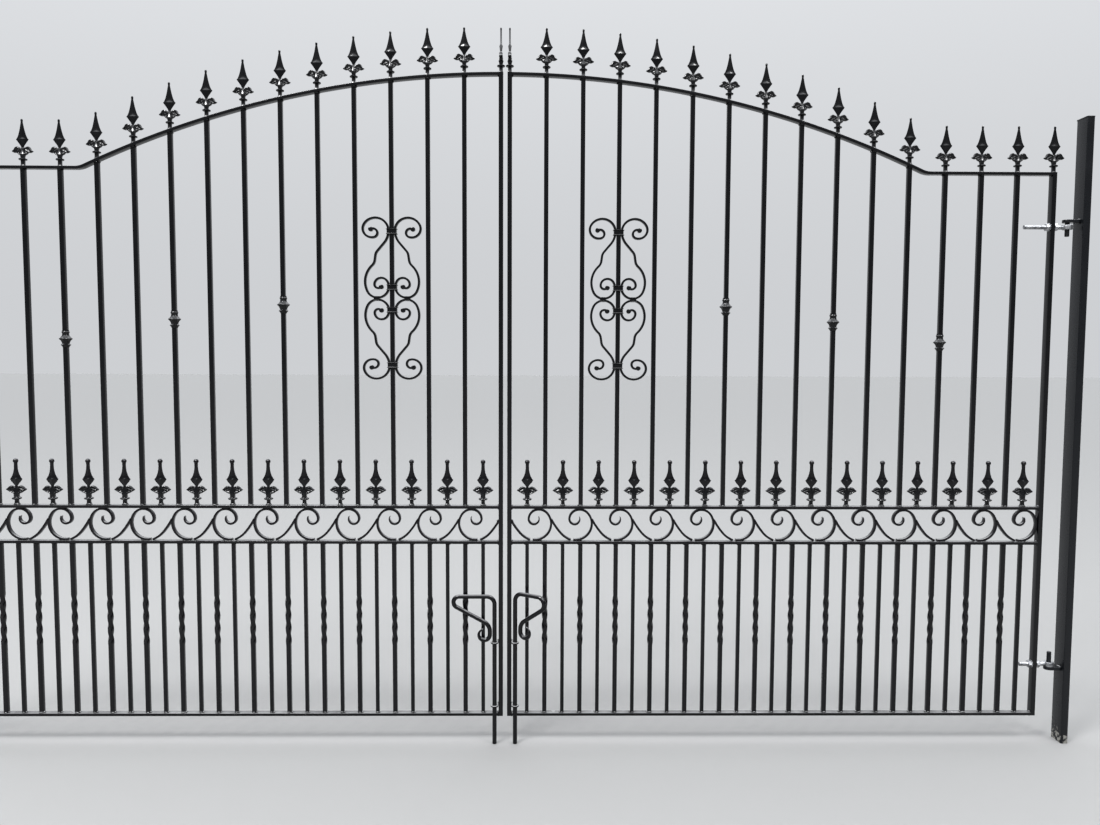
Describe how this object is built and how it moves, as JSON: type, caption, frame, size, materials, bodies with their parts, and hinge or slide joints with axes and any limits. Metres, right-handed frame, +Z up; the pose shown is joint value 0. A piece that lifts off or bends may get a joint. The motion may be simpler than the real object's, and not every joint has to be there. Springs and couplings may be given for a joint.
{
  "type": "double driveway gate",
  "caption": "Wrought iron double driveway gate with arched top, spear heads, running scrolls, twisted bars, hinged leaves and drop bolts on two posts.",
  "frame": {"origin": "centre of the flat foot of the right-hand post, at ground level", "axes": "+X to the right along the gate, +Y away from the side with the drop bolts, +Z up; the gate lies towards -X"},
  "size_m": [3.214, 0.1263, 1.987],
  "materials": {
    "black_paint": "gloss black paint over forged iron bar",
    "cast_iron_black": "black painted cast heads and knuckles",
    "zinc": "dull zinc-plated threaded rod and nuts"
  },
  "bodies": {
    "posts": {"right_post": "black_paint", "right_post_cap": "black_paint", "right_top_hinge_hook": "black_paint", "right_bottom_hinge_hook": "black_paint", "left_post": "black_paint", "left_post_cap": "black_paint", "left_top_hinge_hook": "black_paint", "left_bottom_hinge_hook": "black_paint"},
    "right_leaf": {"right_hanging_stile": "black_paint", "right_meeting_stile": "black_paint", "right_bottom_rail": "black_paint", "right_lower_band_rail": "black_paint", "right_upper_band_rail": "black_paint", "right_top_rail": "black_paint", "right_twisted_bars": "black_paint", "right_thin_bars": "black_paint", "right_upper_bars": "black_paint", "right_scroll_band": "black_paint", "right_lyre_scrolls": "black_paint", "right_knuckles": "cast_iron_black", "right_spear_heads": "cast_iron_black", "right_band_heads": "cast_iron_black", "right_hinge_eyes": "zinc", "right_bolt_guides": "black_paint"},
    "right_bolt": {"right_drop_bolt": "black_paint"},
    "left_leaf": {"left_hanging_stile": "black_paint", "left_meeting_stile": "black_paint", "left_bottom_rail": "black_paint", "left_lower_band_rail": "black_paint", "left_upper_band_rail": "black_paint", "left_top_rail": "black_paint", "left_twisted_bars": "black_paint", "left_thin_bars": "black_paint", "left_upper_bars": "black_paint", "left_scroll_band": "black_paint", "left_lyre_scrolls": "black_paint", "left_knuckles": "cast_iron_black", "left_spear_heads": "cast_iron_black", "left_band_heads": "cast_iron_black", "left_hinge_eyes": "zinc", "left_bolt_guides": "black_paint"},
    "left_bolt": {"left_drop_bolt": "black_paint"}
  },
  "joints": [
    {"name": "right_leaf_hinge", "type": "hinge", "parent": "posts", "child": "right_leaf", "pos_m": [-0.04, 0, 0.8], "axis": [0, 0, 1], "range_deg": [0, 90]},
    {"name": "left_leaf_hinge", "type": "hinge", "parent": "posts", "child": "left_leaf", "pos_m": [-3.154, 0, 0.8], "axis": [0, 0, -1], "range_deg": [0, 90]},
    {"name": "right_bolt_slide", "type": "slide", "parent": "right_leaf", "child": "right_bolt", "axis": [0, 0, 1], "range_m": [0, 0.1]},
    {"name": "left_bolt_slide", "type": "slide", "parent": "left_leaf", "child": "left_bolt", "axis": [0, 0, 1], "range_m": [0, 0.1]}
  ]
}
